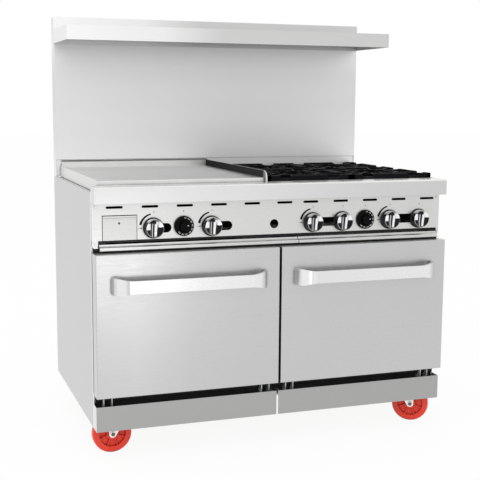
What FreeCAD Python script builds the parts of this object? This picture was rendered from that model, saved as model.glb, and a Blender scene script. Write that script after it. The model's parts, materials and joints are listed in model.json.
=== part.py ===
import FreeCAD, Part
import math
import os

# Commercial gas range, 48 in wide: griddle on the left, four open burners on
# the right, two ovens below and a riser with a high shelf behind.
# Millimetres, X to the right, Y to the back, Z up. The model is drawn with
# Y = 0 on the face of the control panel and moved by Y_SHIFT when written.

V = FreeCAD.Vector
os.makedirs("parts", exist_ok=True)

# ---- driving dimensions -------------------------------------------------
HALF = 609.6            # half of the 48 in width
Y_DOOR = -50.0          # outer face of the doors
Y_LEDGE = -47.0         # front of the landing ledge
Y_KICK = -32.0          # front of the kick plates
KICK_GAP = 6.0          # seam between the two kick plates
Y_FRAME = 4.0           # front of the black face frame
Y_SIDE = 12.0           # front edge of the side panels
Y_RISER = 684.0         # front of the riser
Y_BACK = 740.0          # back of the body
Y_SHELF = 405.0         # front of the high shelf
Z_KICK0, Z_KICK1 = 95.0, 176.0
Z_BASE = 150.0          # underside of the base frame
Z_DOOR0, Z_DOOR1 = 207.0, 663.0
Z_PANEL0, Z_PANEL1 = 700.0, 819.0
Z_LEDGE = 871.0         # top of the landing ledge
Z_SIDE = 850.0          # top of the side panels
Z_GRIDDLE = 884.0       # cooking surface of the griddle
Z_GRATE = 888.0         # top of the grates
Z_RISER = 914.0         # lower edge of the riser
Z_SHELF0, Z_SHELF1 = 1337.0, 1387.0
Z_TOP = 1433.0          # top of the back lip
SHEET = 1.5             # sheet metal
X_MID = -21.0            # wall between griddle and open burners
Y_INLET = 770.0         # end of the gas inlet behind the body
HANDLE_OUT = 50.0       # the handles stand this far off the doors
Y_SHIFT = -(Y_INLET + Y_DOOR - HANDLE_OUT) / 2.0   # centres the depth on the origin

DOORS = {"left": (-609.6, -3.0), "right": (4.0, 609.6)}
CAVITY = {"left": (-560.0, -52.0), "right": (52.0, 560.0)}
OVEN_Z0, OVEN_Z1 = 200.0, 610.0
OVEN_Y1 = 600.0
MOUTH_Z0 = 244.0
PIVOT_Y, PIVOT_Z = -20.0, 212.0           # door hinge line
CHEEKS = {"left": ((-582.0, -555.5), (-49.2, -22.7)),
          "right": ((36.9, 63.4), (549.6, 576.1))}
CASTER_X, CASTER_Y0, CASTER_Y1 = 521.0, 52.0, 688.0
TRAIL, WHEEL_R, WHEEL_W = 24.0, 63.5, 30.0
CASTERS = {"front_left": (-CASTER_X, CASTER_Y0, 180.0),
           "front_right": (CASTER_X, CASTER_Y0, -30.0),
           "rear_left": (-CASTER_X, CASTER_Y1, 268.0),
           "rear_right": (CASTER_X, CASTER_Y1, 284.0)}
KNOB_Z = 735.0
KNOBS = {"griddle_knob_left": -414.6, "griddle_knob_right": -221.8,
         "burner_knob_1": 131.4, "burner_knob_2": 239.6,
         "burner_knob_3": 416.6, "burner_knob_4": 529.0}
DIALS = {"left_oven_dial": -314.6, "right_oven_dial": 324.6}
DIAL_Z = 738.0
STEM_R = 4.0
BORE_R = 4.05
DRAWER = (-578.0, -466.0, 701.0, 779.0)   # opening of the grease drawer
TRAYS = {"left": (-588.0, 75.5), "right": (77.5, 598.0)}
SLOTS = [-538.5 + 114.0 * i for i in range(6)] + [124.5 + 109.0 * i for i in range(5)]
GRATE_X = (X_MID + 9, X_MID + 315)
GRATE_Y = (42.0, 360.0)
GRATE_W, GRATE_D = 303.0, 315.0
PIPE_R = 13.335                            # 3/4 in gas pipe
GAS_X = 560.0


# ---- helpers ------------------------------------------------------------
def box(x0, x1, y0, y1, z0, z1):
    return Part.makeBox(x1 - x0, y1 - y0, z1 - z0, V(x0, y0, z0))


def cyl_z(x, y, z0, z1, r):
    return Part.makeCylinder(r, z1 - z0, V(x, y, z0), V(0, 0, 1))


def cyl_y(x, z, y0, y1, r):
    return Part.makeCylinder(r, y1 - y0, V(x, y0, z), V(0, 1, 0))


def cyl_x(y, z, x0, x1, r):
    return Part.makeCylinder(r, x1 - x0, V(x0, y, z), V(1, 0, 0))


def join(shapes):
    first = shapes[0]
    if len(shapes) == 1:
        return first
    return first.fuse(shapes[1:]).removeSplitter()


def cut(shape, tools):
    return shape.cut(Part.makeCompound(tools))


def prism(points, axis, a0, a1):
    """Extrude a polygon given in the two other axes from a0 to a1."""
    if axis == "x":
        pts = [V(a0, p, q) for p, q in points]
        way = V(a1 - a0, 0, 0)
    elif axis == "y":
        pts = [V(p, a0, q) for p, q in points]
        way = V(0, a1 - a0, 0)
    else:
        pts = [V(p, q, a0) for p, q in points]
        way = V(0, 0, a1 - a0)
    wire = Part.makePolygon(pts + [pts[0]])
    return Part.Face(wire).extrude(way)


def mirror(shape):
    return shape.mirror(V(0, 0, 0), V(1, 0, 0))


def write(name, shape):
    moved = shape.copy()
    moved.translate(V(0, Y_SHIFT, 0))
    moved.exportStep("parts/" + name + ".step")


def stadium(x0, x1, z, r, y0, y1):
    return join([cyl_y(x0 + r, z, y0, y1, r), cyl_y(x1 - r, z, y0, y1, r),
                 box(x0 + r, x1 - r, y0, y1, z - r, z + r)])


# ---- frame and skins ----------------------------------------------------
def chassis_frame():
    bars = [box(-606, 606, 14, 44, 150, 180), box(-606, 606, 706, 736, 150, 180)]
    for x in (-606, -15, 576):
        bars.append(box(x, x + 30, 44, 706, 150, 180))
    for x in (-606, 466):
        bars.append(box(x, x + 140, 14, 112, Z_BASE, Z_BASE + 4))
        bars.append(box(x, x + 140, 630, 736, Z_BASE, Z_BASE + 4))
    for x in (-606, 581):
        bars.append(box(x, x + 25, 14, 39, 180, 700))
        bars.append(box(x, x + 25, 711, 736, 180, 740))
        bars.append(box(x, x + 25, 39, 711, 715, 740))
        bars.append(box(x, x + 25, 39, 64, 658, 715))
    bars.append(box(-12, 12, 14, 39, 180, 658))
    bars.append(box(-606, 606, 14, 700, 658, 660))
    bars.append(box(-606, 606, 698, 706, 640, 660))
    return join(bars)


def side_panel():
    skin = join([box(-HALF, -HALF + SHEET, Y_SIDE, Y_BACK, Z_KICK0, Z_PANEL1),
                 box(-HALF, -HALF + SHEET, 13, Y_BACK, Z_PANEL1, Z_SIDE)])
    front = box(-HALF + SHEET, -590, Y_SIDE, Y_SIDE + SHEET, 180, 699)
    foot = box(-HALF + SHEET, -606.5, Y_SIDE, Y_SIDE + SHEET, Z_KICK0, 180)
    top = box(-HALF + SHEET, -596, 14, Y_RISER, Z_SIDE - SHEET, Z_SIDE)
    back = box(-HALF + SHEET, -597, Y_BACK - SHEET, Y_BACK, 182, Z_SIDE)
    return join([skin, front, foot, top, back])


def rear_panel():
    sheet = box(-596.5, 596.5, Y_BACK - SHEET, Y_BACK, 182, 845)
    slots = []
    for row in range(5):
        for x in (-450, -150, 150, 450):
            slots.append(box(x - 55, x + 55, 735, 745, 230 + 22 * row, 236 + 22 * row))
    slots.append(cyl_y(GAS_X, KNOB_Z, 735, 745, PIPE_R + 4))
    return cut(sheet, slots)


def front_frame():
    sheet = box(-606, 606, Y_FRAME, Y_FRAME + 4, 180, 699)
    tools = []
    for x0, x1 in CAVITY.values():
        tools.append(box(x0, x1, 0, 12, MOUTH_Z0, OVEN_Z1))
    tools.append(box(-566, 70, 0, 12, 662, 692))
    tools.append(box(83, 572, 0, 12, 662, 692))
    return cut(sheet, tools)


def oven_liner(side):
    x0, x1 = CAVITY[side]
    t = SHEET
    shell = cut(box(x0 - t, x1 + t, 8, OVEN_Y1 + t, OVEN_Z0 - t, OVEN_Z1 + t),
                [box(x0, x1, 0, OVEN_Y1, OVEN_Z0, OVEN_Z1)])
    bits = [shell]
    for z in (300, 395, 490):
        bits.append(box(x0 - t, x0 + 9, 40, 580, z, z + 4))
        bits.append(box(x1 - 9, x1 + t, 40, 580, z, z + 4))
    bits.append(box(x0 - t, x0 + 9, 12, 590, 234, 237))
    bits.append(box(x1 - 9, x1 + t, 12, 590, 234, 237))
    bulb = cyl_x(560, 560, x1 - 260, x1 + t, 4)
    bits.append(bulb)
    return join(bits)


def oven_insulation():
    """One blanket round the sides, top, bottom and back of each oven."""
    blankets = []
    for x0, x1 in CAVITY.values():
        t = SHEET
        outer = box(x0 - 13, x1 + 13, 48, OVEN_Y1 + 26, OVEN_Z0 - 16, OVEN_Z1 + 24)
        hole = box(x0 - t, x1 + t, 8, OVEN_Y1 + t, OVEN_Z0 - t, OVEN_Z1 + t)
        blankets.append(outer.cut(hole))
    return Part.makeCompound(blankets)


def oven_floor_plates():
    plates = []
    for x0, x1 in CAVITY.values():
        plate = box(x0 + 2, x1 - 2, 14, 590, 237, 239)
        slots = []
        for i in range(6):
            slots.append(box(x0 + 30, x0 + 42, 60 + 85 * i, 115 + 85 * i, 230, 245))
            slots.append(box(x1 - 42, x1 - 30, 60 + 85 * i, 115 + 85 * i, 230, 245))
        plates.append(cut(plate, slots))
    return Part.makeCompound(plates)


def oven_burners():
    parts = []
    for x0, x1 in CAVITY.values():
        mid = (x0 + x1) / 2
        tube = [cyl_y(mid, 217, 60, 560, 12), cyl_x(140, 217, mid - 150, mid + 150, 10),
                cyl_x(480, 217, mid - 150, mid + 150, 10)]
        tube.append(cyl_z(mid, 100, OVEN_Z0, 217, 6))
        tube.append(cyl_z(mid, 520, OVEN_Z0, 217, 6))
        parts.append(join(tube))
    return Part.makeCompound(parts)


def control_panel():
    sheet = box(-606, 606, 0, 2, Z_PANEL0, Z_PANEL1)
    lip = box(-606, 606, 2, 20, Z_PANEL1 - 2, Z_PANEL1)
    foot = join([box(-606, DRAWER[0] - 4, 2, 12, Z_PANEL0, Z_PANEL0 + 2),
                 box(DRAWER[1] + 4, 606, 2, 12, Z_PANEL0, Z_PANEL0 + 2)])
    ends = [box(-HALF, -606, 0, 10, Z_PANEL0, Z_PANEL1), box(606, HALF, 0, 10, Z_PANEL0, Z_PANEL1)]
    tabs = [prism([(-HALF, 700), (-HALF, 682), (-603, 676), (-591, 676), (-591, 700)], "y", 0, 2),
            prism([(HALF, 700), (HALF, 682), (605, 676), (600, 676), (600, 700)], "y", 0, 2)]
    screws = []
    for x, z in ((-599, 688), (604.5, 688), (-599, 806), (599, 806)):
        screws.append(cyl_y(x, z, -1.6, 0, 3.4))
    tools = []
    for x in SLOTS:
        tools.append(stadium(x - 27, x + 27, 803.5, 4, -1, 3))
    for x in KNOBS.values():
        tools.append(cyl_y(x, KNOB_Z, -1, 3, 6))
    for x in DIALS.values():
        tools.append(cyl_y(x, DIAL_Z, -1, 3, 6))
    tools.append(stadium(-404, -355, 734, 15, -1, 3))
    tools.append(stadium(-200, -151, 734, 15, -1, 3))
    tools.append(cyl_y(-5.5, 734, -1, 3, 15))
    tools.append(box(155, 217, -1, 3, 720, 750))
    tools.append(box(442, 503, -1, 3, 721, 752))
    tools.append(box(DRAWER[0], DRAWER[1], -1, 3, 690, DRAWER[3]))
    plate = cut(join([sheet, lip, foot] + ends + tabs), tools)
    return plate.fuse(screws).removeSplitter()


def front_ledge():
    r = 6.0
    y0, y1, z0, z1 = Y_LEDGE, 13.0, Z_PANEL1, Z_LEDGE
    solid = box(-HALF, HALF, y0, y1, z0, z1)
    edges = [e for e in solid.Edges if abs(e.BoundBox.YMin - y0) < 1e-3 and abs(e.BoundBox.YMax - y0) < 1e-3
             and abs(e.BoundBox.ZMin - z1) < 1e-3 and abs(e.BoundBox.ZMax - z1) < 1e-3]
    solid = solid.makeFillet(r, edges)
    inner = box(-HALF + 1.5, HALF - 1.5, y0 + 1.5, y1 + 1, z0 + 1.5, z1 - 1.5)
    inner_edges = [e for e in inner.Edges if abs(e.BoundBox.YMin - y0 - 1.5) < 1e-3
                   and abs(e.BoundBox.YMax - y0 - 1.5) < 1e-3
                   and abs(e.BoundBox.ZMin - z1 + 1.5) < 1e-3 and abs(e.BoundBox.ZMax - z1 + 1.5) < 1e-3]
    inner = inner.makeFillet(r - 1.5, inner_edges)
    return solid.cut(inner)


def burner_box():
    """Walls under the deck, a floor under the griddle, and the deck frame round the grates."""
    walls = [box(-604.5, -603, 80, 684, 742, 845), box(603, 604.5, 80, 684, 742, 848),
             box(-604.5, 604.5, 80, 81.5, 742, 848), box(-604.5, 604.5, 682.5, 684, 742, 848),
             box(X_MID, X_MID + 2, 80, 684, 742, 870), box(-604.5, X_MID + 2, 80, 684, 742, 743.5)]
    deck = cut(box(X_MID, HALF, 13, Y_RISER, 869.5, 871), [box(X_MID + 7, 600, 40, 677, 860, 880)])
    skirts = [box(608.1, HALF, 13, Y_RISER, Z_SIDE, 870), box(X_MID, 608.1, 13, 14.5, 852, 870),
              box(X_MID, 595, 682.5, 684, 846, 870)]
    middle = GRATE_X[0] + GRATE_W
    rails = [box(X_MID + 1, 595, y, y + 8, 846, 852) for y in (50.0, 352.0, 664.0)]
    rails.append(box(middle, middle + 3, 50, 672, 840, 852))
    rails.append(box(X_MID + 1, X_MID + 5, 50, 672, 846, 852))
    body = join(walls + [deck] + skirts + rails)
    return cut(body, [box(DRAWER[0] - 2, DRAWER[1] + 2, 70, 320, 735, DRAWER[3] + 4),
                      cyl_y(GAS_X, KNOB_Z, 60, 700, PIPE_R + 4)])


def griddle_plate():
    x0, x1 = -589.0, X_MID - 10
    plate = box(x0, x1, 34, 682, 866, Z_GRIDDLE)
    gutter = join([box(x0, x1, 15, 34, 850, 852), box(x0, x1, 15, 16.5, 852, 870),
                   box(x0, x0 + 3, 15, 35, 850, 868), box(x1 - 3, x1, 15, 35, 850, 868),
                   box(x0, x1, 34, 36, 850, 867)])
    body = join([plate, gutter])
    return cut(body, [box(-545, -495, 18, 32, 845, 855)])


def griddle_splash():
    left = box(-594, -591, 15, 682, 851, 890)
    outline = [(15, 852), (15, 884), (22, 900), (38, 907), (682, 907), (682, 852)]
    right = prism(outline, "x", X_MID - 8, X_MID - 4)
    back = box(-590, X_MID - 9, 682.2, 683.7, 866, 904)
    return Part.makeCompound([left, right, back])


def griddle_burners():
    parts = []
    for x in (-450.0, -150.0):
        for dx in (-60.0, 60.0):
            parts.append(cyl_y(x + dx, 826, 110, 640, 13))
        parts.append(cyl_x(110, 826, x - 60, x + 60, 13))
        parts.append(cyl_x(640, 826, x - 60, x + 60, 13))
        parts.append(cyl_z(x, 110, 743.5, 826, 8))
        parts.append(cyl_z(x, 640, 743.5, 826, 8))
    return join(parts)


def kick_plate():
    face = box(-HALF, -KICK_GAP / 2, Y_KICK, Y_KICK + 1.2, Z_KICK0, Z_KICK1)
    end = box(-HALF, -HALF + 1.2, Y_KICK + 1.2, Y_SIDE, Z_KICK0, Z_KICK1)
    mid = box(-13, -11.8, Y_KICK + 1.2, 14, 150, Z_KICK1)
    return join([face, end, mid])


def riser_panel():
    face = box(-HALF, HALF, Y_RISER, Y_RISER + SHEET, Z_RISER, Z_TOP - 1.5)
    band = box(-HALF + 1, HALF - 1, Y_RISER + 4, Y_RISER + 5.5, 852, Z_RISER + 1.5)
    step = box(-HALF + 1, HALF - 1, Y_RISER + 1, Y_RISER + 5.5, Z_RISER, Z_RISER + 1.5)
    sides = [box(-HALF, -HALF + SHEET, Y_RISER + SHEET, Y_BACK - SHEET, Z_SIDE, Z_TOP - 1.5),
             box(HALF - SHEET, HALF, Y_RISER + SHEET, Y_BACK - SHEET, Z_SIDE, Z_TOP - 1.5)]
    return join([face, band, step] + sides)


def riser_back():
    sheet = box(-HALF, HALF, Y_BACK - SHEET, Y_BACK, Z_SIDE, Z_TOP)
    lip = box(-HALF, HALF, 724, Y_BACK - SHEET, Z_TOP - 1.5, Z_TOP)
    slots = []
    for i in range(9):
        x = -480 + 120 * i
        slots.append(box(x - 40, x + 40, 730, 745, 1392, 1400))
        slots.append(box(x - 40, x + 40, 730, 745, 1408, 1416))
    return cut(join([sheet, lip]), slots)


def high_shelf():
    t = SHEET
    top = box(-HALF, HALF, Y_SHELF, Y_RISER, Z_SHELF1 - t, Z_SHELF1)
    front = box(-HALF, HALF, Y_SHELF, Y_SHELF + t, Z_SHELF0, Z_SHELF1)
    hem = box(-HALF, HALF, Y_SHELF, Y_SHELF + 14, Z_SHELF0, Z_SHELF0 + t)
    ends = [box(-HALF, -HALF + t, Y_SHELF, Y_RISER, Z_SHELF0, Z_SHELF1),
            box(HALF - t, HALF, Y_SHELF, Y_RISER, Z_SHELF0, Z_SHELF1)]
    lip = box(-HALF, HALF, Y_RISER - t, Y_RISER, Z_SHELF0, Z_TOP - 1.5)
    gussets = []
    for x in (-330.0, 0.0, 330.0):
        gussets.append(prism([(Y_SHELF + 14, Z_SHELF1 - t), (Y_RISER - t, Z_SHELF1 - t),
                              (Y_RISER - t, Z_SHELF1 - 26)], "x", x - 1, x + 1))
    cover = box(-HALF, HALF, Y_RISER - t, 723.5, Z_TOP - 1.5, Z_TOP)
    body = join([top, front, hem, lip, cover] + ends + gussets)
    long_edges = [e for e in body.Edges
                  if e.BoundBox.XLength > 1000 and abs(e.BoundBox.YMin - Y_SHELF) < 1e-3
                  and abs(e.BoundBox.ZMin - Z_SHELF1) < 1e-3]
    return body.makeFillet(1.2, long_edges)


def top_burners():
    parts = []
    for gx in GRATE_X:
        for gy in GRATE_Y:
            x, y = gx + GRATE_W / 2, gy + GRATE_D / 2
            head = Part.makeCone(46, 40, 14, V(x, y, 826), V(0, 0, 1))
            ring = Part.makeCone(26, 22, 6, V(x, y, 840), V(0, 0, 1))
            neck = cyl_z(x, y, 790, 826, 20)
            start = 84.0 if gy < 200 else 400.0
            throat = cyl_y(x, 800, start, y, 13)
            cross = box(x - 140, x + 140, y - 8, y + 8, 796, 804)
            parts.append(join([head, ring, neck, throat, cross]))
    return Part.makeCompound(parts)


def gas_manifold():
    pipe = cyl_x(58, KNOB_Z, -450, 566, 13)
    run = cyl_y(GAS_X, KNOB_Z, 58, Y_INLET, PIPE_R)
    caps = [cyl_x(58, KNOB_Z, -462, -450, 16), cyl_x(58, KNOB_Z, 566, 578, 16)]
    collar = cyl_y(GAS_X, KNOB_Z, Y_BACK, Y_BACK + 6, 24)
    body = join([pipe, run, collar] + caps)
    return cut(body, [cyl_y(GAS_X, KNOB_Z, 690, Y_INLET + 1, 10)])


def burner_valves():
    parts = []
    places = [(x, KNOB_Z) for x in KNOBS.values()] + [(x, DIAL_Z) for x in DIALS.values()]
    for x, z in places:
        body = join([cyl_y(x, z, 8, 30, 12), box(x - 9, x + 9, 30, 44.6, z - 9, z + 9)])
        parts.append(cut(body, [cyl_y(x, z, 7, 24, BORE_R)]))
    return Part.makeCompound(parts)


def hinge_brackets():
    parts = []
    for pairs in CHEEKS.values():
        for pair in pairs:
            for x in pair:
                nose = cyl_x(PIVOT_Y, PIVOT_Z, x - 1.5, x + 1.5, 8)
                leaf = prism([(-27.99, 212), (-13, 212), (-13, 152), (14, 152), (14, 180), (4, 180), (4, 220),
                              (PIVOT_Y, 220)], "x", x - 1.5, x + 1.5)
                leaf = leaf.cut(prism([(-30, 204), (-13, 204), (-13, 212), (-20, 212), (-30, 212)],
                                      "x", x - 2, x + 2))
                leaf = leaf.cut(box(x - 2, x + 2, -30, PIVOT_Y, 200, 230))
                plate = join([nose, leaf])
                parts.append(cut(plate, [cyl_x(PIVOT_Y, PIVOT_Z, x - 2, x + 2, BORE_R)]))
    return Part.makeCompound(parts)


def caster_plates():
    parts = []
    for x, y, _ in CASTERS.values():
        plate = box(x - 46, x + 46, y - 38, y + 38, 146, Z_BASE)
        race = cyl_z(x, y, 138.5, 146, 27)
        pin = cyl_z(x, y, 126.5, 138.5, 6)
        bits = [plate, race, pin]
        for dx in (-36, 36):
            for dy in (-29, 29):
                bits.append(cyl_z(x + dx, y + dy, 141, 146, 6))
        parts.append(join(bits))
    return Part.makeCompound(parts)


# ---- moving pieces ------------------------------------------------------
def grate(x0, y0):
    x1, y1 = x0 + GRATE_W, y0 + GRATE_D
    xm, ym = (x0 + x1) / 2, (y0 + y1) / 2
    w = 11.0
    z0, z1 = 856.0, Z_GRATE
    bars = [box(x0, x1, y0, y0 + w, z0 + 6, z1 - 4), box(x0, x1, y1 - w, y1, z0 + 6, z1 - 4),
            box(x0, x0 + w, y0, y1, z0 + 6, z1 - 4), box(x1 - w, x1, y0, y1, z0 + 6, z1 - 4)]
    for x in (x0 + 0.5, x1 - w - 0.5):
        for y in (y0 + 0.5, y1 - w - 0.5):
            bars.append(box(x, x + w, y, y + w, 852.0, z1 - 4))
    reach = 44.0
    for s in (-1, 1):
        bars.append(finger(xm, ym, s, 0, reach, GRATE_W / 2, z0, z1))
        bars.append(finger(xm, ym, 0, s, reach, GRATE_D / 2, z0, z1))
        for side in (-1, 1):
            bars.append(finger(xm + side * 78, ym, 0, s, 38, GRATE_D / 2, z0, z1))
            bars.append(finger(xm, ym + side * 84, s, 0, 38, GRATE_W / 2, z0, z1))
    ring = cyl_z(xm, ym, z0 + 2, z0 + 12, 62).cut(cyl_z(xm, ym, z0, z0 + 14, 53))
    return join(bars + [ring])


def finger(xm, ym, sx, sy, start, end, z0, z1):
    h = 4.0
    lean = 12.0
    if sx:
        pts = [(xm + sx * start, z0 + 10), (xm + sx * (start - 4), z1 - 3), (xm + sx * (start + 4), z1),
               (xm + sx * (end - lean), z1), (xm + sx * (end - 1), z1 - 4), (xm + sx * (end - 1), z0 + 6)]
        return prism(pts, "y", ym - h, ym + h)
    pts = [(ym + sy * start, z0 + 10), (ym + sy * (start - 4), z1 - 3), (ym + sy * (start + 4), z1),
           (ym + sy * (end - lean), z1), (ym + sy * (end - 1), z1 - 4), (ym + sy * (end - 1), z0 + 6)]
    return prism(pts, "x", xm - h, xm + h)


def door_shell(side):
    x0, x1 = DOORS[side]
    t = SHEET
    outer = box(x0, x1, Y_DOOR, 0, Z_DOOR0, Z_DOOR1)
    front = [e for e in outer.Edges if abs(e.BoundBox.YMin - Y_DOOR) < 1e-3 and abs(e.BoundBox.YMax - Y_DOOR) < 1e-3]
    outer = outer.makeFillet(3.0, front)
    hollow = box(x0 + t, x1 - t, Y_DOOR + t, 1, Z_DOOR0 + t, Z_DOOR1 - t)
    tools = [hollow]
    for pair in CHEEKS[side]:
        for x in pair:
            tools.append(box(x - 2.6, x + 2.6, PIVOT_Y - 9.2, 1, Z_DOOR0 - 1, 221.2))
    return cut(outer, tools)


def door_liner(side):
    x0, x1 = DOORS[side]
    c0, c1 = CAVITY[side]
    t = SHEET
    plate = box(x0 + t, x1 - t, -t, 0, Z_DOOR0 + t, Z_DOOR1 - t)
    plug = box(c0 + 8, c1 - 8, 0, 16, MOUTH_Z0 + 6, OVEN_Z1 - 6)
    hollow = box(c0 + 9.5, c1 - 9.5, -2, 14.5, MOUTH_Z0 + 7.5, OVEN_Z1 - 7.5)
    body = join([plate, plug]).cut(hollow)
    tools = []
    for pair in CHEEKS[side]:
        a, b = pair
        tools.append(box(a - 14, b + 14, -5, 1, Z_DOOR0, 241))
    return cut(body, tools)


def door_hinges(side):
    parts = []
    for a, b in CHEEKS[side]:
        lo, hi = a - 14.0, b + 14.0
        lo = max(lo, DOORS[side][0] + SHEET)
        hi = min(hi, DOORS[side][1] - SHEET)
        block = box(lo, hi, PIVOT_Y - 9.2, 0, Z_DOOR0 + SHEET, 241)
        slots = [box(x - 2.6, x + 2.6, PIVOT_Y - 9.3, 1, Z_DOOR0, 221.2) for x in (a, b)]
        block = cut(block, slots)
        pin = cyl_x(PIVOT_Y, PIVOT_Z, a - 8, b + 8, STEM_R)
        pin = pin.cut(box(a - 9, b + 9, -40, 0, 200, Z_DOOR0 + SHEET))
        parts.append(join([block, pin]))
    return Part.makeCompound(parts)


def door_handle(side):
    x0, x1 = DOORS[side]
    mid = (x0 + x1) / 2 - (4.0 if side == "right" else 0.0)
    z = 565.0
    outer, inner = bow(257.0, HANDLE_OUT), bow(246.0, HANDLE_OUT - 8)
    ribbon = Part.Face(outer).extrude(V(0, 0, 56)).cut(Part.Face(inner).extrude(V(0, 0, 56)))
    ribbon.translate(V(mid, Y_DOOR, z - 28))
    upper = [(-257, 22), (-254, 25.5), (-248, 27), (-236, 26.5), (-216, 22.5), (-196, 20)]
    upper = upper + [(-a, b) for a, b in reversed(upper)]
    front = upper + [(a, -b) for a, b in reversed(upper)]
    mask = prism([(mid + a, z + b) for a, b in front], "y", Y_DOOR - 60, Y_DOOR)
    return ribbon.common(mask)


def bow(half, depth):
    """Half outline of the handle's bow in plan, closed along the door."""
    flat = half - 58.0
    left = Part.BezierCurve()
    left.setPoles([V(-half, 0, 0), V(-half + 2, -depth * 0.62, 0), V(-half + 24, -depth, 0), V(-flat, -depth, 0)])
    right = Part.BezierCurve()
    right.setPoles([V(flat, -depth, 0), V(half - 24, -depth, 0), V(half - 2, -depth * 0.62, 0), V(half, 0, 0)])
    edges = [left.toShape(), Part.makeLine(V(-flat, -depth, 0), V(flat, -depth, 0)), right.toShape(),
             Part.makeLine(V(half, 0, 0), V(-half, 0, 0))]
    return Part.Wire(edges)


def grease_drawer():
    x0, x1, z0, z1 = DRAWER
    front = box(x0 + 2, x1 - 2, -0.5, 1.0, z0 - 1, z1 - 2.5)
    lip = box(x0 + 2, x1 - 2, -2.0, -0.5, z1 - 14, z1 - 2.5)
    front = join([front, lip]).cut(cyl_y(-523.8, 752, -5, 3, 3.2))
    pan = cut(box(x0 + 6, x1 - 6, 1.0, 290, z0 + 1, z1 - 16),
              [box(x0 + 7.2, x1 - 7.2, 2.2, 288.8, z0 + 2.2, z1)])
    return join([front, pan])


def drip_tray(side):
    x0, x1 = TRAYS[side]
    p0, p1 = (x0 + 26, x1 - 8) if side == "left" else (x0 + 8, x1 - 30)
    nose = [(0, 688), (-3, 688), (-3, 682), (-12, 682), (-16, 679), (-16, 670), (-12, 667), (-5, 667), (-5, 664.5),
            (-13, 664.5), (-13, 663.4), (0, 663.4)]
    front = prism(nose, "x", x0, x1)
    pan = cut(box(p0, p1, 0, 600, 664, 686), [box(p0 + 1.2, p1 - 1.2, 1.2, 598.8, 665.2, 690)])
    return join([front, pan])


def knob(x):
    z = KNOB_Z
    prof = [V(x, -1.5, z), V(x + 33, -1.5, z), V(x + 33, -4.5, z), V(x + 30.5, -6, z), V(x + 29, -24, z),
            V(x + 26.5, -27, z), V(x + 20, -26, z), V(x, -24.5, z)]
    face = Part.Face(Part.makePolygon(prof + [prof[0]]))
    skirt = face.revolve(V(x, 0, z), V(0, 1, 0), 360)
    side = [(-28, -22), (-27, -30), (-21, -36), (-10, -39), (10, -39), (21, -36), (27, -30), (28, -22)]
    grip = prism([(b, z + a) for a, b in side], "x", x - 8, x + 8)
    edges = [e for e in grip.Edges if e.BoundBox.XLength < 1e-3 and e.BoundBox.YMax < -25]
    grip = grip.makeChamfer(2.5, edges)
    stem = cyl_y(x, z, -4, 20, STEM_R)
    return join([skirt, grip, stem])


def dial(x):
    z = DIAL_Z
    prof = [V(x, -1.5, z), V(x + 32, -1.5, z), V(x + 32, -7, z), V(x + 30, -9, z), V(x + 19, -9.5, z),
            V(x + 16, -22, z), V(x + 14, -24, z), V(x, -24, z)]
    face = Part.Face(Part.makePolygon(prof + [prof[0]]))
    disc = face.revolve(V(x, 0, z), V(0, 1, 0), 360)
    mark = box(x - 1.5, x + 1.5, -25.2, -23, z + 2, z + 13)
    stem = cyl_y(x, z, -4, 20, STEM_R)
    return join([disc, mark, stem])


def oven_rack(side):
    """A flat rounded frame and a cross bar with round wires laid over them."""
    x0, x1 = CAVITY[side]
    z0, z1 = 399.2, 404.2
    a, b, y0, y1 = x0 + 5, x1 - 5, 34.0, 566.0
    outer = rounded(box(a, b, y0, y1, z0, z1), 20)
    inner = rounded(box(a + 7, b - 7, y0 + 7, y1 - 7, z0 - 1, z1 + 1), 13)
    bits = [outer.cut(inner), box(a + 3, b - 3, 297, 303, z0, z1)]
    wires = 13
    for i in range(1, wires):
        x = a + (b - a) * i / wires
        bits.append(cyl_y(x, z1 + 1, y0 + 2, y1 - 2, 2.2))
    return join(bits)


def rounded(block, r):
    """Round the four upright edges of a block."""
    upright = [e for e in block.Edges if e.BoundBox.ZLength > 1 and e.BoundBox.XLength < 1e-3
               and e.BoundBox.YLength < 1e-3]
    return block.makeFillet(r, upright)


def place(shape, spot):
    """Put a caster piece drawn with its trail along +X onto its corner."""
    x, y, angle = spot
    out = shape.copy()
    out.rotate(V(0, 0, 0), V(0, 0, 1), angle)
    out.translate(V(x, y, 0))
    return out


def caster_fork():
    crown = cyl_z(0, 0, 130, 138, 29)
    bridge = box(-24, 36, -21, 21, 130, 134)
    legs = []
    for y0 in (-21.0, 18.0):
        r = 12.0
        pts = [(TRAIL + r, WHEEL_R), (TRAIL + r, 134), (-24, 134), (-24, 122), (TRAIL - 9.6, WHEEL_R - 7.2)]
        leg = prism(pts, "y", y0, y0 + 3)
        legs.append(join([leg, cyl_y(TRAIL, WHEEL_R, y0, y0 + 3, r)]))
    axle = cyl_y(TRAIL, WHEEL_R, -25, 25, 6)
    nuts = [cyl_y(TRAIL, WHEEL_R, -26, -21, 8.5), cyl_y(TRAIL, WHEEL_R, 21, 26, 8.5)]
    body = join([crown, bridge, axle] + legs + nuts)
    return cut(body, [cyl_z(0, 0, 126, 139, 6.05)])


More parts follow.
